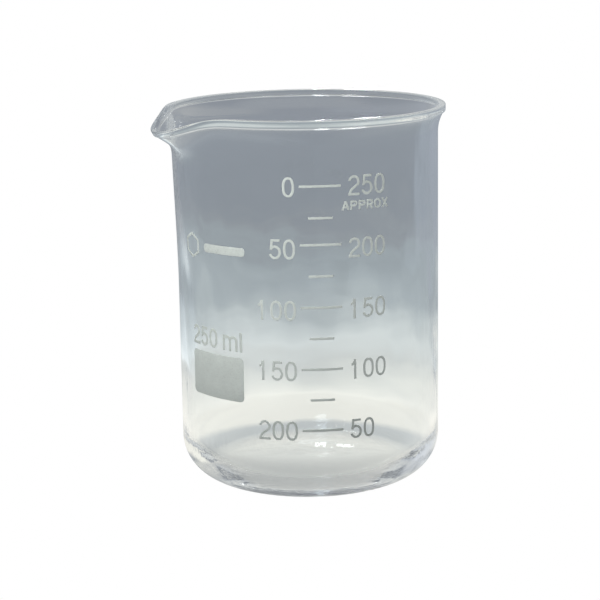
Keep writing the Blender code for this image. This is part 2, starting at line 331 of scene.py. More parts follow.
def glass_profile(glass):
    """The half section of the glass as (radius, height) rows, from the middle of the inner floor
    over the rim to the middle of the underside: straight lines joined by circle arcs, with a
    rim whose sine and cosine are raised to a power, so that its sides are nearly upright. The
    third column is 1 on the straight inner wall, where the thickness varies, and the fourth is
    1 there and on the inner side of the flare, where the spout thins the wall."""
    inner = glass.radius - glass.wall
    inner_corner = glass.corner - glass.wall
    middle = glass.radius - glass.wall / 2 + glass.flare
    flare_base = glass.height - glass.bead - glass.flare * math.sin(glass.flare_angle)
    flared = math.degrees(glass.flare_angle)
    inner_flare, outer_flare = glass.flare + glass.wall / 2, glass.flare - glass.wall / 2
    bead_center = (
        middle - glass.flare * math.cos(glass.flare_angle),
        flare_base + glass.flare * math.sin(glass.flare_angle),
    )
    rim = arc((0.0, 0.0), (1.0, 1.0), RIM_START, RIM_END, 34)
    rim = np.array(bead_center) + glass.bead * np.sign(rim) * np.abs(rim) ** RIM_POWER
    corner_top = glass.base + inner_corner
    foot = glass.radius - glass.corner
    under = line((foot, 0.0), (0.0, 0.0), 13)[1:]
    under[:, 1] = glass.push_up * smooth(1.0 - under[:, 0] / foot)
    straight_run, flared_run = 2, 3
    runs = (
        line((0.0, glass.base), (inner - inner_corner, glass.base), 12)[:-1],
        arc((inner - inner_corner, corner_top), (inner_corner,) * 2, -90, 0, 16)[:-1],
        line((inner, corner_top), (inner, flare_base), 40)[:-1],
        arc((middle, flare_base), (inner_flare,) * 2, 180, 180 + INNER_LEAD - flared, 14),
        rim,
        arc((middle, flare_base), (outer_flare,) * 2, 180 + OUTER_LEAD - flared, 180, 10),
        line((glass.radius, flare_base), (glass.radius, glass.corner), 40)[1:-1],
        arc((foot, glass.corner), (glass.corner,) * 2, 0, -90, 20),
        under,
    )
    flags = [
        np.full((len(run), 2), (index == straight_run, index in (straight_run, flared_run)))
        for index, run in enumerate(runs)
    ]
    return np.column_stack((np.concatenate(runs), np.concatenate(flags)))


def glass_surface(glass):
    """The profile turned about the axis: radius times (cosine, sine) of the turn, and height.
    Near the spout the radius grows and the height drops by raised cosines of the turn, both
    rising towards the rim, and the inner side grows a little more, so the wall there is
    thinner. The straight inner wall ripples by sines of the turn and the height."""
    rows = glass_profile(glass)
    turn = np.linspace(0.0, TURN, glass.turn_steps, endpoint=False)[None, :]
    radius, height, rippled, inner = (rows[1:-1, k][:, None] for k in range(4))
    away = away_from_spout(glass, turn)
    foot = glass.height - glass.spout_height
    rise = np.clip((height - foot) / glass.spout_height, 0.0, 1.0)
    reach = glass.spout_reach * bell(away, glass.spout_half_width, glass.spout_sharpness)
    drop = glass.spout_drop * bell(away, glass.drop_half_width, glass.drop_sharpness)
    length_share = height / glass.height
    waves = sum(
        share * np.sin(around * turn + up * length_share + start)
        for share, around, up, start in RIPPLES
    )
    ends = smooth((height - RIPPLE_BOTTOM) / RIPPLE_EASE)
    ends = ends * smooth((RIPPLE_TOP - height) / RIPPLE_EASE)
    grown = radius + reach * rise**glass.reach_rise + shoulder(glass, turn, height)
    grown = grown + glass.ripple * waves * rippled * ends
    drawn = smooth((height - glass.shoulder_start) / THIN_EASE_IN)
    drawn = drawn * smooth((THIN_TOP - height) / THIN_EASE_OUT)
    grown = grown + glass.spout_thinning * inner * drawn * bell(away, THIN_HALF_WIDTH, 1.0)
    level = height - drop * smooth(rise) + 0 * turn
    rings = np.stack((grown * np.cos(turn), grown * np.sin(turn), level), axis=-1)
    poles = np.array([(0.0, 0.0, rows[0, 1]), (0.0, 0.0, rows[-1, 1])])
    return rings, poles


def build_glass(glass, material):
    """The surface's rings as quads, closed by a fan of triangles at each pole."""
    rings, poles = glass_surface(glass)
    rows, columns = rings.shape[:2]
    points = np.concatenate((rings.reshape(-1, 3), poles))
    faces = grid_faces(rows, columns).tolist()
    here = np.arange(columns)
    after = (here + 1) % columns
    last = (rows - 1) * columns
    top = rows * columns
    faces += np.column_stack((np.full(columns, top), after, here)).tolist()
    faces += np.column_stack((np.full(columns, top + 1), last + here, last + after)).tolist()
    return new_piece("glass_body_surface", points, faces, material)


def glass_material(glass):
    """Clear borosilicate glass: faint drawn lines up the wall, a few seeds, and handling marks
    that dull the polish a little."""
    material, tree = new_tree("beaker_glass")
    place = add_node(tree, "ShaderNodeTexCoord").outputs["Object"]
    drawn = add_node(tree, "ShaderNodeMapping", {"Vector": place, "Scale": (1.0, 1.0, 0.012)})
    lines = add_node(
        tree, "ShaderNodeTexNoise", {"Vector": drawn.outputs[0], "Scale": 190.0, "Detail": 3.0}
    )
    waves = add_node(tree, "ShaderNodeTexNoise", {"Vector": place, "Scale": 45.0, "Detail": 2.0})
    seeds = add_node(tree, "ShaderNodeTexVoronoi", {"Vector": place, "Scale": 210.0})
    seed = ramp(tree, seeds.outputs["Distance"], [(0.0, 0.0), (0.03, 0.6), (0.06, 1.0)])
    mottle = add_node(tree, "ShaderNodeTexNoise", {"Vector": place, "Scale": 70.0, "Detail": 6.0})
    dull = ramp(tree, mottle.outputs["Fac"], [(0.0, 0.0), (0.52, 0.0), (0.68, 0.045), (1.0, 0.09)])
    line_bump = add_node(
        tree, "ShaderNodeBump",
        {"Height": lines.outputs["Fac"], "Strength": 0.16, "Distance": 0.0003},
    )
    wave_bump = add_node(
        tree, "ShaderNodeBump",
        {"Height": waves.outputs["Fac"], "Strength": 0.1, "Distance": 0.0005,
         "Normal": line_bump.outputs["Normal"]},
    )
    seed_bump = add_node(
        tree, "ShaderNodeBump",
        {"Height": seed, "Strength": 0.12, "Distance": 0.0001,
         "Normal": wave_bump.outputs["Normal"]},
    )
    shader = add_node(
        tree, "ShaderNodeBsdfPrincipled",
        {"Base Color": (*glass.tint, 1.0), "Metallic": 0.0, "Roughness": dull,
         "IOR": glass.ior, "Transmission Weight": 1.0, "Normal": seed_bump.outputs["Normal"]},
    )
    add_node(tree, "ShaderNodeOutputMaterial", {"Surface": shader.outputs["BSDF"]})
    return material


# ---------------------------------------------------------------- the enamel marks

# The closed outline of a stroke's film: across is a share of the half width, up of the film
FILM_ACROSS = np.array([-1.0, -0.96, -0.85, -0.4, 0.4, 0.85, 0.96, 1.0, 0.96, 0.4, -0.4, -0.96])
FILM_UP = np.array([0.35, 0.78, 1.0, 1.0, 1.0, 1.0, 0.78, 0.35, 0.0, 0.0, 0.0, 0.0])
STROKE_SPACING = 0.00012
# How much thicker each stroke's film is than the last one's, as a share, where strokes cross
FILM_STEP = 0.15
# A line's width wavers by these shares, in so many waves along it
WAVERS = ((0.025, 3), (0.02, 7))
# Places are (along the wall from the middle of the scale, height), and sizes are outside sizes
PATCH_PLACE, PATCH_SIZE, PATCH_CORNER = (-0.0295, 0.0323), (0.0183, 0.0114), 0.0012
BAR_PLACE, BAR_SIZE, BAR_CORNER = (-0.0259, 0.0650), (0.0130, 0.0022), 0.0008
HEXAGON_PLACE, HEXAGON_RADIUS = (-0.0375, 0.0650), 0.0030
# In the capacity mark: the m's size, and how far the m and the l stand from the mark's start
UNIT_M_SIZE, UNIT_M_LEFT, UNIT_L_LEFT = (0.0047, 0.0040), 0.0118, 0.0171


def on_wall(glass, enamel, along, height, depth):
    """Points at a distance along the wall from the middle of the scale, at a height, and at a
    depth out from the glass: the distance over the radius is the turn."""
    turn = enamel.scale_angle + along / glass.radius
    radius = glass.radius + enamel.gap + depth + shoulder(glass, turn, height)
    return np.stack((radius * np.cos(turn), radius * np.sin(turn), height), axis=-1)


def spaced(path, closed):
    """The path's points set out again at even distances."""
    if closed:
        path = np.concatenate((path, path[:1]))
    steps = np.hypot(*np.diff(path, axis=0).T)
    travelled = np.concatenate(((0.0,), np.cumsum(steps)))
    count = max(4, int(travelled[-1] / STROKE_SPACING) + 1)
    wanted = np.linspace(0.0, travelled[-1], count + (1 if closed else 0))
    if closed:
        wanted = wanted[:-1]
    return np.column_stack([np.interp(wanted, travelled, path[:, k]) for k in range(2)])


def stroke_rings(path, width, closed, film, seed):
    """The film's outline carried along the path: each point moves across by its share of the
    half width, which wavers a little, and out by its share of the film."""
    path = spaced(path, closed)
    if closed:
        ahead = np.roll(path, -1, axis=0) - np.roll(path, 1, axis=0)
    else:
        ahead = np.gradient(path, axis=0)
    ahead /= np.hypot(*ahead.T)[:, None]
    sideways = np.column_stack((-ahead[:, 1], ahead[:, 0]))
    share = np.arange(len(path)) / len(path)
    waver = 1.0
    for index, (amount, count) in enumerate(WAVERS):
        waver = waver + amount * np.sin(TURN * count * share + (index + 1) * seed)
    half = width / 2 * waver
    across = half[:, None] * FILM_ACROSS[None, :]
    flat = path[:, None, :] + sideways[:, None, :] * across[:, :, None]
    depth = np.broadcast_to(film * FILM_UP[None, :], across.shape)
    return flat[..., 0], flat[..., 1], depth


def build_strokes(name, strokes, width, glass, enamel, material):
    """A mark drawn with one line width, as one film for each stroke. Where strokes cross, each
    lies a little over the last."""
    points, faces, first = [], [], 0
    for index, (path, closed) in enumerate(strokes):
        film = enamel.film * (1.0 + FILM_STEP * index)
        along, height, depth = stroke_rings(path, width, closed, film, len(name) + index)
        rows, columns = along.shape
        points.append(on_wall(glass, enamel, along, height, depth).reshape(-1, 3))
        faces += grid_faces(rows, columns, first, closed).tolist()
        if not closed:
            faces.append(list(range(first, first + columns))[::-1])
            faces.append(list(range(first + (rows - 1) * columns, first + rows * columns)))
        first += rows * columns
    piece = new_piece(name + "_film", np.concatenate(points), faces, material)
    stand_in(piece, name)
    return piece


def build_patch(name, center, size, corner, glass, enamel, material):
    """A filled rectangle with round corners. Its upright section, a film as tall as the
    rectangle is there, is carried along the wall; the round corners shorten it at both ends."""
    half = size[0] / 2
    start = -half + corner * (1 - np.cos(np.linspace(0.12, math.pi / 2, 12)))
    middle = np.linspace(-half + corner, half - corner, 120)[1:-1]
    columns = np.concatenate((start, middle, -start[::-1]))
    inset = np.clip(corner - (half - np.abs(columns)), 0.0, corner)
    tall = size[1] / 2 - (corner - np.sqrt(corner**2 - inset**2))
    edge = enamel.stroke / 2
    inner = np.clip(np.abs(FILM_ACROSS), 0.0, 1.0)
    drawn_in = edge * (1.0 - inner) * (inner > 0.5)
    level = np.sign(FILM_ACROSS)[None, :] * np.where(
        (inner > 0.5)[None, :], tall[:, None] - drawn_in[None, :], 0.4 * tall[:, None]
    )
    along = np.broadcast_to(columns[:, None], level.shape) + center[0]
    depth = np.broadcast_to(enamel.film * FILM_UP[None, :], level.shape)
    points = on_wall(glass, enamel, along, level + center[1], depth)
    rows, count = along.shape
    faces = grid_faces(rows, count).tolist()
    faces.append(list(range(count))[::-1])
    faces.append(list(range((rows - 1) * count, rows * count)))
    piece = new_piece(name + "_film", points.reshape(-1, 3), faces, material)
    stand_in(piece, name)
    return piece


# Each character is a set of strokes, (path, closed), on a square from (0, 0) to (1, 1). Ends
# that lie on the square's sides go past them by half a line width, in shares of the square.


def oval(ex, ey):
    """A tall round ring with nearly straight sides: signed powers of cosine and sine."""
    turn = np.linspace(0, TURN, 61)[:-1]
    shape = [np.sign(f(turn)) * np.abs(f(turn)) ** 0.85 for f in (np.cos, np.sin)]
    return [(0.5 + 0.5 * np.column_stack(shape), True)]


def one(ex, ey):
    flag = arc((0.02, 1.10), (0.40, 0.33), -90, -8, 12)
    return [(flag, False), (line((0.44, -ey), (0.44, 1.0 + ey)), False)]


def two(ex, ey):
    bowl = arc((0.5, 0.70), (0.5, 0.30), 168, -24, 26)
    down = arc((1.0, -0.06), (0.98, 0.52), 118, 176, 16)
    return [
        (np.concatenate((bowl, down)), False),
        (line((-ex, 0.0), (1.0 + ex, 0.0)), False),
    ]


def five(ex, ey):
    bowl = arc((0.48, 0.325), (0.52, 0.325), 138, -162, 36)
    return [
        (bowl, False),
        (line((0.12, 1.0), (0.96 + ex / 2, 1.0)), False),
        (line((0.19, 1.0 + ey), (0.075, 0.46)), False),
    ]


def letter_a(ex, ey):
    return [
        (line((-0.02, -ey), (0.5, 1.0 + 0.6 * ey)), False),
        (line((1.02, -ey), (0.5, 1.0 + 0.6 * ey)), False),
        (line((0.16, 0.27), (0.84, 0.27)), False),
    ]


def letter_p(ex, ey):
    loop = np.concatenate((
        line((0.05, 1.0), (0.55, 1.0), 4)[:-1],
        arc((0.55, 0.73), (0.42, 0.27), 90, -90, 22),
        line((0.55, 0.46), (0.05, 0.46), 4)[1:],
    ))
    return [(line((0.05, -ey), (0.05, 1.0 + ey)), False), (loop, False)]


def letter_r(ex, ey):
    return letter_p(ex, ey) + [(line((0.50, 0.46), (0.98, -ey)), False)]


def letter_x(ex, ey):
    return [
        (line((0.0, -ey), (1.0, 1.0 + ey)), False),
        (line((0.0, 1.0 + ey), (1.0, -ey)), False),
    ]


def letter_m(ex, ey):
    arches = []
    for x in (0.25, 0.75):
        leg = line((x + 0.25, 0.6), (x + 0.25, -ey))
        arches.append(np.concatenate((arc((x, 0.68), (0.25, 0.32), 165, 0, 20), leg)))
    return [(line((0.0, -ey), (0.0, 1.0 + ey)), False)] + [(arch, False) for arch in arches]


def letter_l(ex, ey):
    return [(line((0.5, -ey), (0.5, 1.0 + ey)), False)]


CHARACTERS = {
    "0": oval,
    "1": one,
    "2": two,
    "5": five,
    "A": letter_a,
    "P": letter_p,
    "R": letter_r,
    "O": oval,
    "X": letter_x,
    "m": letter_m,
    "l": letter_l,
}


def character_strokes(character, left, middle, size, stroke):
    """The character's strokes on the wall, with its outer size, from its left side."""
    wide = max(size[0] - stroke, 1e-6)
    tall = size[1] - stroke
    shape = CHARACTERS[character](stroke / 2 / wide, stroke / 2 / tall)
    corner = np.array((left + stroke / 2, middle - tall / 2))
    return [(corner + path * (wide, tall), closed) for path, closed in shape]


def build_number(prefix, text, left, middle, glass, enamel, material):
    """The number's digits, a pitch apart from its left side, each a piece of its own."""
    size = (enamel.digit_width, enamel.digit_height)
    for index, character in enumerate(text):
        strokes = character_strokes(
            character, left + index * enamel.digit_pitch, middle, size, enamel.stroke
        )
        name = f"{prefix}_{text}_digit_{index + 1}"
        build_strokes(name, strokes, enamel.stroke, glass, enamel, material)


def enamel_material(enamel):
    """Fired white enamel: a chalky film with a fine grain, faint clouds where it was printed
    thinner, and pinholes."""
    material, tree = new_tree("beaker_enamel")
    place = add_node(tree, "ShaderNodeTexCoord").outputs["Object"]
    grain = add_node(tree, "ShaderNodeTexNoise", {"Vector": place, "Scale": 5200.0, "Detail": 3.0})
    cloud = add_node(tree, "ShaderNodeTexNoise", {"Vector": place, "Scale": 420.0, "Detail": 4.0})
    holes = add_node(tree, "ShaderNodeTexVoronoi", {"Vector": place, "Scale": 2600.0})
    thin = ramp(tree, cloud.outputs["Fac"], [(0.25, 0.90), (0.75, 1.0)])
    speck = ramp(tree, grain.outputs["Fac"], [(0.3, 0.93), (0.7, 1.0)])
    hole = ramp(tree, holes.outputs["Distance"], [(0.0, 0.62), (0.16, 0.82), (0.30, 1.0)])
    shade = (*enamel.color, 1.0)
    for factor in (thin, speck, hole):
        shade = multiplied(tree, shade, factor)
    rough = ramp(tree, cloud.outputs["Fac"], [(0.3, 0.42), (0.7, 0.60)])
    bump = add_node(
        tree, "ShaderNodeBump",
        {"Height": grain.outputs["Fac"], "Strength": 0.25, "Distance": 0.00002},
    )
    shader = add_node(
        tree, "ShaderNodeBsdfPrincipled",
        {"Base Color": shade, "Metallic": 0.0, "Roughness": rough, "IOR": 1.5,
         "Specular IOR Level": 0.3, "Normal": bump.outputs["Normal"]},
    )
    add_node(tree, "ShaderNodeOutputMaterial", {"Surface": shader.outputs["BSDF"]})
    return material


# ---------------------------------------------------------------- the stage

WHITE = (1.0, 1.0, 1.0)
SLATE = (0.28, 0.305, 0.345)
FILL = (0.085, 0.088, 0.09)
# The floor's painted glow by distance from the beaker's axis, in metres: the light and shade of a
# room, cream near and slate-blue further off
FLOOR_PAINTED_GLOW = (
    (0.0, (0.94, 0.92, 0.87)),
    (0.057, (0.91, 0.89, 0.83)),
    (0.075, (0.97, 0.955, 0.90)),
    (0.092, (0.81, 0.815, 0.78)),
    (0.117, (0.63, 0.65, 0.645)),
    (0.145, (0.70, 0.735, 0.74)),
    (0.175, (0.56, 0.60, 0.615)),
    (0.200, (0.455, 0.495, 0.515)),
    (0.230, (0.39, 0.43, 0.46)),
    (0.290, (0.335, 0.37, 0.40)),
    (0.355, (0.29, 0.31, 0.34)),
    (0.438, (0.264, 0.286, 0.322)),
    (0.690, (0.275, 0.297, 0.336)),
)
FLOOR_REACH = 0.7
FLOOR_TURNS, FLOOR_RINGS, FLOOR_FIRST_RING = 96, 24, 0.02
# Under and close round the base, stops are shares of this distance from the axis
BASE_REACH = 0.05
RING_STOPS = ((0.44, 0.0), (0.60, 1.0), (0.74, 1.0), (0.84, 0.0))
UNDER_STOPS = ((0.60, 1.0), (0.80, 0.0))
CLOTH_STOPS = ((0.62, 0.0), (0.84, 1.0))
# The patch of painted slate shade in front starts, and is full, at these distances forward and,
# with a minus sign, at these distances aside
PAINTED_SHADE_FORWARD, PAINTED_SHADE_INWARD = (0.03, 0.13), (-0.12, -0.02)
# Directions in which the floor changes near the base, and where each change starts and ends
FORWARD, LEFTWARD, BACKWARD = (0.0, -1.0, 0.0), (-0.82, -0.57, 0.0), (0.33, 0.94, 0.0)
RING_FADE, RING_DARKENS, UNDER_SPAN = (0.0, 0.012), (0.012, 0.032), (-0.035, 0.035)
# The painted shadow's color in the ring, and on its left
PAINTED_RING_SHADOW = ((0.66, 0.70, 0.76), (0.34, 0.37, 0.42))
# The painted shade under the base, darkest at the front, from the front to the back
PAINTED_UNDER_SHADE = (
    (0.05, (0.52, 0.55, 0.58)),
    (0.22, (0.60, 0.62, 0.645)),
    (0.36, (0.72, 0.735, 0.75)),
    (0.52, (0.84, 0.85, 0.855)),
    (0.72, (1.0, 1.0, 0.99)),
)
# The painted bands of light at the back right and back left start and are full at these ratios of
# the distance across to the distance back, and their strength goes by shares of the floor's reach
SIDE_BANDS = (
    (0.30, 0.36, ((0.38, 0.0), (0.47, 1.0))),
    (-0.30, -0.40, ((0.19, 0.0), (0.215, 1.0), (0.30, 0.8), (0.38, 0.0), (0.52, 0.35))),
)
PAINTED_SIDE_LIGHT = (1.29, 1.31, 1.33)
LEAST_BACK = 0.02  # the least distance back that the ratio takes
# The room's colors by the upward part of the direction looked in
ROOM_SHADES = ((0.0, SLATE), (0.45, SLATE), (0.62, (0.16, 0.175, 0.20)), (0.95, (0.13, 0.14, 0.16)))
LOW_STOPS = ((0.0, 0.0), (0.13, 1.0), (0.30, 1.0), (0.46, 0.0))
HIGH_STOPS = ((0.22, 0.0), (0.38, 1.0), (0.70, 1.0), (0.85, 0.0))
# The room's brighter walls: direction, where they start and are full, height stops, color
WALLS = (
    ((1.0, 0.0, 0.0), 0.40, 0.80, LOW_STOPS, (0.92, 0.91, 0.84)),
    ((-1.0, 0.0, 0.0), 0.25, 0.60, LOW_STOPS, (0.64, 0.68, 0.74)),
    ((0.0, 1.0, 0.0), 0.80, 0.95, LOW_STOPS, (0.66, 0.68, 0.68)),
    ((0.0, -1.0, 0.0), 0.25, 0.55, HIGH_STOPS, (0.72, 0.74, 0.73)),
)
# The spots on the enamel: name, place, target, width of the beam in degrees
SPOTS = (
    ("stage_key", (-0.12, -0.50, 0.42), (0.0, -0.034, 0.098), 16.7),
    ("stage_side_key", (-0.55, -0.12, 0.32), (-0.03, -0.01, 0.058), 22.0),
)
SPOT_SOFTNESS = 0.03
LIGHT_TARGET = (0.0, 0.0, 0.05)
# A low window and three small lamps behind the beaker: bearings are from +X, in degrees
PANEL_DISTANCE = 0.9
WINDOW_BEARING, WINDOW_HEIGHT, WINDOW_SIZE, WINDOW_RADIANCE = 84.4, 0.13, (0.042, 0.020), 0.6
LAMP_BEARINGS, LAMP_HEIGHT, LAMP_SIZE, LAMP_RADIANCE = (83.9, 82.4, 81.7), 0.16, 0.011, 420.0
# Three lamps and a strip of window overhead
CEILING_ACROSS, CEILING_BACK, CEILING_HEIGHT = (-0.10, -0.30, -0.41), -0.1, 1.03
CEILING_SIZE, CEILING_RADIANCE = 0.03, 250.0
STRIP_PLACE, STRIP_SIZE, STRIP_RADIANCE = (-0.09, 0.02, 1.05), (0.60, 0.10), 3.5
DAYLIGHT, SKYLIGHT, LAMPLIGHT = (0.85, 0.93, 1.0), (0.80, 0.90, 1.0), (1.0, 0.97, 0.88)
# Light may run a long way inside the wall before it comes out
GLASS_BOUNCES = 1024


def toward(tree, place, direction, start, end):
    """0 to 1 between two distances along a direction from the axis."""
    along = add_node(
        tree, "ShaderNodeVectorMath", {0: place, 1: direction}, operation="DOT_PRODUCT"
    ).outputs["Value"]
    return ranged(tree, along, start, end)


def seen_or_around(tree, seen, around):
    """White where it is looked at directly. What the glass bends or mirrors is the room's color,
    and surfaces are lit by the weak fill."""
    path = add_node(tree, "ShaderNodeLightPath")
    weak = mixed(tree, path.outputs["Is Diffuse Ray"], around, FILL)
    return mixed(tree, path.outputs["Is Camera Ray"], weak, tuple(seen))


def painted_glow_by_distance(tree, place, away):
    """The floor's painted glow by distance, which wanders by soft clouds, with a patch of painted
    slate shade in front, and that distance as a share of the floor's reach."""
    cloud = add_node(tree, "ShaderNodeTexNoise", {"Vector": place, "Scale": 16.0, "Detail": 3.0})
    wander = add_node(
        tree, "ShaderNodeMapRange",
        {"Value": cloud.outputs["Fac"], "From Min": 0.3, "From Max": 0.7, "To Min": 0.84,
         "To Max": 1.16},
    ).outputs[0]
    share = add_node(
        tree, "ShaderNodeMath", {0: times(tree, away, wander), 1: FLOOR_REACH},
        operation="DIVIDE",
    ).outputs[0]
    around = ramp(tree, share, [(radius / FLOOR_REACH, shade) for radius, shade in FLOOR_PAINTED_GLOW])
    mirrored = add_node(tree, "ShaderNodeVectorMath", {0: place}, operation="ABSOLUTE").outputs[0]
    # Painted shade: the floor in front of the beaker turns slate
    middle = toward(tree, mirrored, (-1.0, 0.0, 0.0), *PAINTED_SHADE_INWARD)
    front = times(tree, toward(tree, place, FORWARD, *PAINTED_SHADE_FORWARD), middle)
    return mixed(tree, front, around, SLATE), share


def base_layers(tree, place, near):
    """The painted shadow in a ring round the back of the base, darkest on the left, the painted
    shade under the base, darker at the front, and the weave, which fades out just outside it."""
    # Painted shadow of the beaker in a ring round the back of its base
    ring = ramp(tree, near, RING_STOPS)
    ring = mixed(tree, toward(tree, place, FORWARD, *RING_FADE), ring, (0.0, 0.0, 0.0))
    shade = mixed(tree, toward(tree, place, LEFTWARD, *RING_DARKENS), *PAINTED_RING_SHADOW)
    # Painted shade under the base, darker towards the front
    under = ramp(tree, toward(tree, place, BACKWARD, *UNDER_SPAN), PAINTED_UNDER_SHADE)
    threads = [
        add_node(
            tree, "ShaderNodeTexWave", {"Vector": place, "Scale": 520.0, "Distortion": 1.2},
            bands_direction=direction,
        ).outputs["Fac"]
        for direction in ("X", "Y")
    ]
    cloth = ramp(tree, times(tree, *threads), [(0.0, 0.86), (1.0, 1.20)])
    return (
        mixed(tree, ring, WHITE, shade),
        mixed(tree, ramp(tree, near, UNDER_STOPS), WHITE, under),
        mixed(tree, ramp(tree, near, CLOTH_STOPS), cloth, WHITE),
    )


def side_layers(tree, place, share):
    """The painted bands of brighter light at the back, by the place across over the place back."""
    parts = add_node(tree, "ShaderNodeSeparateXYZ", {"Vector": place})
    back = add_node(
        tree, "ShaderNodeMath", {0: parts.outputs["Y"], 1: LEAST_BACK}, operation="MAXIMUM"
    ).outputs[0]
    aside = add_node(
        tree, "ShaderNodeMath", {0: parts.outputs["X"], 1: back}, operation="DIVIDE"
    ).outputs[0]
    # Painted light: the floor glows brighter in these bands
    return [
        mixed(
            tree, times(tree, ranged(tree, aside, start, end), ramp(tree, share, stops)),
            WHITE, PAINTED_SIDE_LIGHT,
        )
        for start, end, stops in SIDE_BANDS
    ]


def floor_material(stage):
    """A pale cloth that glows instead of being lit: white where it is looked at directly, and to
    the glass a painted room of light and shade, cream near the beaker, passing to a slate-blue room
    further off and in front, with painted bands of light at the back, a painted shadow of the
    beaker at its base, and a fine weave there."""
    material, tree = new_tree("stage_floor")
    place = add_node(tree, "ShaderNodeTexCoord").outputs["Object"]
    away = add_node(tree, "ShaderNodeVectorMath", {0: place}, operation="LENGTH").outputs["Value"]
    near = ranged(tree, away, 0.0, BASE_REACH)
    around, share = painted_glow_by_distance(tree, place, away)
    for layer in (*base_layers(tree, place, near), *side_layers(tree, place, share)):
        around = multiplied(tree, around, layer)
    light = seen_or_around(tree, stage.floor_color, around)
    # The floor glows with painted light and shade; the lamps don't light it
    glow = add_node(tree, "ShaderNodeEmission", {"Color": light, "Strength": 1.0})
    add_node(tree, "ShaderNodeOutputMaterial", {"Surface": glow.outputs[0]})
    return material


def build_floor(stage):
    """A flat disc: radius, growing by even ratios, times (cosine, sine) of the turn."""
    turn = np.linspace(0, TURN, FLOOR_TURNS, endpoint=False)[None, :]
    radius = np.geomspace(FLOOR_FIRST_RING, stage.floor_radius, FLOOR_RINGS)[:, None]
    level = np.full((FLOOR_RINGS, FLOOR_TURNS), -stage.floor_gap)
    rings = np.stack((radius * np.cos(turn), radius * np.sin(turn), level), axis=-1)
    points = np.concatenate((rings.reshape(-1, 3), [(0.0, 0.0, -stage.floor_gap)]))
    here = np.arange(FLOOR_TURNS)
    middle = np.full(FLOOR_TURNS, FLOOR_RINGS * FLOOR_TURNS)
    faces = grid_faces(FLOOR_RINGS, FLOOR_TURNS)[:, ::-1].tolist()
    faces += np.column_stack((middle, here, (here + 1) % FLOOR_TURNS)).tolist()
    mesh = bpy.data.meshes.new("stage_floor")
    mesh.from_pydata(points.tolist(), [], faces)
    mesh.materials.append(floor_material(stage))
    floor = bpy.data.objects.new("stage_floor", mesh)
    bpy.context.scene.collection.objects.link(floor)


def build_world(stage):
    """The room as the glass sees it: slate up to half height and darker overhead, with low
    bright walls at the right, left and back and a high one in front."""
    world = bpy.data.worlds.new("stage_room")
    bpy.context.scene.world = world
    world.use_nodes = True
    tree = world.node_tree
    tree.nodes.clear()
    place = add_node(tree, "ShaderNodeTexCoord").outputs["Generated"]
    up = add_node(tree, "ShaderNodeSeparateXYZ", {"Vector": place}).outputs["Z"]
    around = ramp(tree, up, ROOM_SHADES)
    for direction, start, end, stops, shade in WALLS:
        facing = toward(tree, place, direction, start, end)
        around = mixed(tree, times(tree, facing, ramp(tree, up, stops)), around, shade)
    light = seen_or_around(tree, stage.floor_color, around)
    glow = add_node(tree, "ShaderNodeBackground", {"Color": light, "Strength": 1.0})
    add_node(tree, "ShaderNodeOutputWorld", {"Surface": glow.outputs[0]})


def aimed(place, target, roll=0.0):
    """Stands at a place with -Z towards the target and +Y up, leaning clockwise by roll."""
    place, target = Vector(place), Vector(target)
    turned = (target - place).to_track_quat("-Z", "Y").to_matrix().to_4x4()
    return Matrix.Translation(place) @ turned @ Matrix.Rotation(-roll, 4, "Z")


def add_lamp(kind, name, place, target, power, tint=WHITE):
    """A light at a place, aimed at a target, with its power in watts."""
    lamp_data = bpy.data.lights.new(name, kind)
    lamp_data.energy = power
    lamp_data.color = tint
    lamp = bpy.data.objects.new(name, lamp_data)
    lamp.matrix_world = aimed(place, target)
    bpy.context.scene.collection.objects.link(lamp)
    return lamp


def add_panel(name, place, size, radiance, tint=WHITE):
    """A glowing rectangle facing the beaker. Its power is its radiance times pi times its
    area."""
    power = radiance * math.pi * size[0] * size[1]
    lamp = add_lamp("AREA", name, place, LIGHT_TARGET, power, tint)
    lamp.data.shape = "RECTANGLE"
    lamp.data.size, lamp.data.size_y = size
    return lamp


def behind(bearing, height):
    """A place at the panels' distance from the axis, on a bearing from +X in degrees."""
    turn = math.radians(bearing)
    return (PANEL_DISTANCE * math.cos(turn), PANEL_DISTANCE * math.sin(turn), height)


def build_lights(stage):
    """Two soft spots on the enamel, which the glass doesn't mirror, and the windows and lamps
    of the room, which it does."""
    for (name, place, target, width), power in zip(SPOTS, (stage.key_power, stage.side_power)):
        key = add_lamp("SPOT", name, place, target, power)
        key.data.spot_size = math.radians(width)
        key.data.spot_blend = 1.0
        key.data.shadow_soft_size = SPOT_SOFTNESS
        key.visible_glossy = False
        key.visible_transmission = False
    window = behind(WINDOW_BEARING, WINDOW_HEIGHT)
    add_panel("stage_window", window, WINDOW_SIZE, WINDOW_RADIANCE, DAYLIGHT)
    for index, bearing in enumerate(LAMP_BEARINGS):
        place = behind(bearing, LAMP_HEIGHT)
        lamp = add_panel(f"stage_lamp_{index + 1}", place, (LAMP_SIZE,) * 2, LAMP_RADIANCE)
        lamp.visible_diffuse = False
    for index, across in enumerate(CEILING_ACROSS):
        place = (across, CEILING_BACK, CEILING_HEIGHT)
        size = (CEILING_SIZE,) * 2
        add_panel(f"stage_ceiling_lamp_{index + 1}", place, size, CEILING_RADIANCE, LAMPLIGHT)
    add_panel("stage_ceiling_window", STRIP_PLACE, STRIP_SIZE, STRIP_RADIANCE, SKYLIGHT)


def build_camera(stage):
    """The camera at its place, leaning by its roll."""
    camera = bpy.data.cameras.new("stage_camera")
    camera.lens = stage.lens
    camera.sensor_width = 36.0
    camera.clip_start = 0.01
    camera.clip_end = 100.0
    holder = bpy.data.objects.new("stage_camera", camera)
    holder.matrix_world = aimed(stage.camera_place, stage.camera_target, stage.camera_roll)
    bpy.context.scene.collection.objects.link(holder)
    bpy.context.scene.camera = holder


# ---------------------------------------------------------------- operators


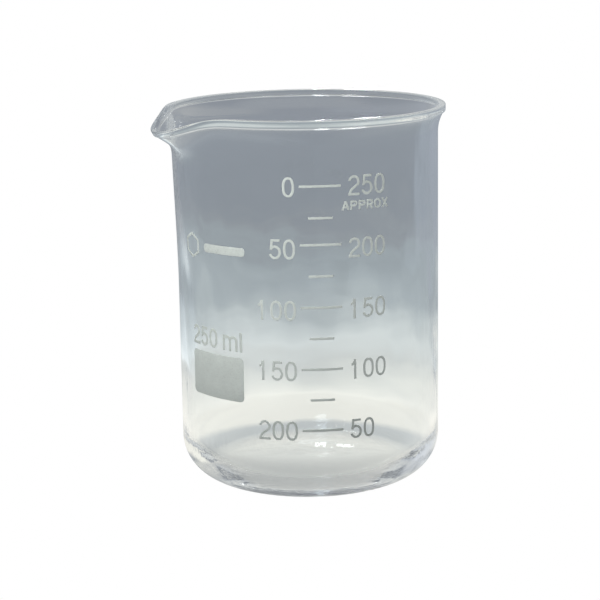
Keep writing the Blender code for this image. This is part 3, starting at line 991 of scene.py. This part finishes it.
def enamel_parts(context):
    """What each mark's operator needs: both groups of settings and the enamel."""
    glass, enamel = context.scene.beaker_glass, context.scene.beaker_enamel
    return glass, enamel, enamel_material(enamel)


class BEAKER_OT_glass_body(bpy.types.Operator):
    """Build the blown glass body"""

    bl_idname = "beaker.glass_body"
    bl_label = "Glass Body"

    def execute(self, context):
        glass = context.scene.beaker_glass
        piece = build_glass(glass, glass_material(glass))
        stand_in(piece, "glass_body")
        return {"FINISHED"}


class BEAKER_OT_scale_lines(bpy.types.Operator):
    """Build the scale's nine lines"""

    bl_idname = "beaker.scale_lines"
    bl_label = "Scale Lines"

    def execute(self, context):
        glass, enamel, material = enamel_parts(context)
        for volume in range(50, 251, 25):
            half = (enamel.long_line if volume % 50 == 0 else enamel.short_line) / 2
            steps = (volume - 50) / 25
            height = enamel.first_line + steps * enamel.line_step
            height -= enamel.upper_drop if volume > 200 else 0.0
            strokes = [(line((-half, height), (half, height)), False)]
            build_strokes(
                f"line_{volume:03d}_ml", strokes, enamel.stroke, glass, enamel, material
            )
        return {"FINISHED"}


class BEAKER_OT_scale_numbers(bpy.types.Operator):
    """Build the rising and the falling numbers"""

    bl_idname = "beaker.scale_numbers"
    bl_label = "Scale Numbers"

    def execute(self, context):
        glass, enamel, material = enamel_parts(context)
        for row in range(5):
            middle = enamel.first_number + row * enamel.number_step
            rising, falling = str(50 + 50 * row), str(200 - 50 * row)
            wide = enamel.digit_width + (len(falling) - 1) * enamel.digit_pitch
            build_number("rising", rising, enamel.rising_left, middle, glass, enamel, material)
            left = enamel.falling_right - wide
            build_number("falling", falling, left, middle, glass, enamel, material)
        return {"FINISHED"}


class BEAKER_OT_small_letters(bpy.types.Operator):
    """Build the six small letters under the top number"""

    bl_idname = "beaker.small_letters"
    bl_label = "Small Letters"

    def execute(self, context):
        glass, enamel, material = enamel_parts(context)
        size = (enamel.letter_width, enamel.letter_height)
        for index, character in enumerate("APPROX"):
            left = enamel.letters_left + index * enamel.letter_pitch
            strokes = character_strokes(
                character, left, enamel.letters_level, size, enamel.bold_stroke
            )
            name = f"approx_letter_{index + 1}_{character}"
            build_strokes(name, strokes, enamel.bold_stroke, glass, enamel, material)
        return {"FINISHED"}


class BEAKER_OT_capacity_mark(bpy.types.Operator):
    """Build the capacity mark, 250 ml"""

    bl_idname = "beaker.capacity_mark"
    bl_label = "Capacity Mark"

    def execute(self, context):
        glass, enamel, material = enamel_parts(context)
        size = (enamel.digit_width, enamel.digit_height)
        left, level, stroke = enamel.capacity_left, enamel.capacity_level, enamel.capacity_stroke
        for index, character in enumerate("250"):
            at = left + index * enamel.digit_pitch
            strokes = character_strokes(character, at, level, size, stroke)
            build_strokes(f"capacity_digit_{index + 1}", strokes, stroke, glass, enamel, material)
        middle = level - enamel.digit_height / 2 + UNIT_M_SIZE[1] / 2
        strokes = character_strokes("m", left + UNIT_M_LEFT, middle, UNIT_M_SIZE, stroke)
        build_strokes("capacity_letter_m", strokes, stroke, glass, enamel, material)
        size = (stroke, enamel.digit_height)
        strokes = character_strokes("l", left + UNIT_L_LEFT, level, size, stroke)
        build_strokes("capacity_letter_l", strokes, stroke, glass, enamel, material)
        return {"FINISHED"}


class BEAKER_OT_label_marks(bpy.types.Operator):
    """Build the marking patch, the plain hexagon and the plain bar"""

    bl_idname = "beaker.label_marks"
    bl_label = "Label Marks"

    def execute(self, context):
        glass, enamel, material = enamel_parts(context)
        for name, place, size, corner in (
            ("marking_patch", PATCH_PLACE, PATCH_SIZE, PATCH_CORNER),
            ("label_bar", BAR_PLACE, BAR_SIZE, BAR_CORNER),
        ):
            build_patch(name, place, size, corner, glass, enamel, material)
        hexagon = arc(HEXAGON_PLACE, (HEXAGON_RADIUS,) * 2, 90, 450, 7)[:-1]
        build_strokes(
            "label_hexagon", [(hexagon, True)], enamel.stroke, glass, enamel, material
        )
        return {"FINISHED"}


class BEAKER_OT_stage(bpy.types.Operator):
    """Set the floor, the room, the lights and the camera"""

    bl_idname = "beaker.stage"
    bl_label = "Stage"

    def execute(self, context):
        stage = context.scene.beaker_stage
        context.scene.view_settings.view_transform = "Standard"
        context.scene.cycles.max_bounces = GLASS_BOUNCES
        context.scene.cycles.glossy_bounces = GLASS_BOUNCES
        context.scene.cycles.transmission_bounces = GLASS_BOUNCES
        build_floor(stage)
        build_world(stage)
        build_lights(stage)
        build_camera(stage)
        return {"FINISHED"}


class BEAKER_PT_panel(bpy.types.Panel):
    """Lists the beaker's operators"""

    bl_idname = "BEAKER_PT_panel"
    bl_label = "Beaker"
    bl_space_type = "VIEW_3D"
    bl_region_type = "UI"
    bl_category = "Beaker"

    def draw(self, context):
        column = self.layout.column(align=True)
        for operator in OPERATORS:
            column.operator(operator.bl_idname)


SETTINGS = (BeakerGlassSettings, BeakerEnamelSettings, BeakerStageSettings)
OPERATORS = (
    BEAKER_OT_glass_body, BEAKER_OT_scale_lines, BEAKER_OT_scale_numbers,
    BEAKER_OT_small_letters, BEAKER_OT_capacity_mark, BEAKER_OT_label_marks, BEAKER_OT_stage,
)


def register():
    for kind in SETTINGS + OPERATORS + (BEAKER_PT_panel,):
        bpy.utils.register_class(kind)
    bpy.types.Scene.beaker_glass = PointerProperty(type=BeakerGlassSettings)
    bpy.types.Scene.beaker_enamel = PointerProperty(type=BeakerEnamelSettings)
    bpy.types.Scene.beaker_stage = PointerProperty(type=BeakerStageSettings)


def unregister():
    del bpy.types.Scene.beaker_glass
    del bpy.types.Scene.beaker_enamel
    del bpy.types.Scene.beaker_stage
    for kind in (BEAKER_PT_panel,) + OPERATORS[::-1] + SETTINGS[::-1]:
        bpy.utils.unregister_class(kind)


def main():
    """Builds the beaker and its stage."""
    register()
    bpy.ops.beaker.glass_body()
    bpy.ops.beaker.scale_lines()
    bpy.ops.beaker.scale_numbers()
    bpy.ops.beaker.small_letters()
    bpy.ops.beaker.capacity_mark()
    bpy.ops.beaker.label_marks()
    bpy.ops.beaker.stage()


if __name__ == "__main__":
    main()
